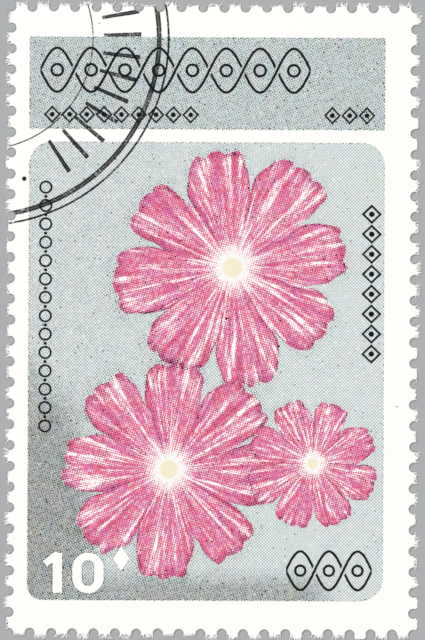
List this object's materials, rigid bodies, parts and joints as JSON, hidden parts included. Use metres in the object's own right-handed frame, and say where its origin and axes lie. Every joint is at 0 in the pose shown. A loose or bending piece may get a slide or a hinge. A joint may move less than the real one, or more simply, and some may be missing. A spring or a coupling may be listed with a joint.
{
  "type": "postage stamp",
  "caption": "Used upright postage stamp: one thin sheet of printed paper with torn, perforated edges and part of a round postmark.",
  "frame": {"origin": "middle of the back face, on the surface that the stamp lies on", "axes": "+X to the stamp's right, +Y to its top edge, +Z out of the printed face"},
  "size_m": [0.0314, 0.048, 0.0001],
  "materials": {
    "paper": "matt, printed on the front"
  },
  "bodies": {
    "root": {"stamp_sheet": "paper"}
  },
  "joints": []
}
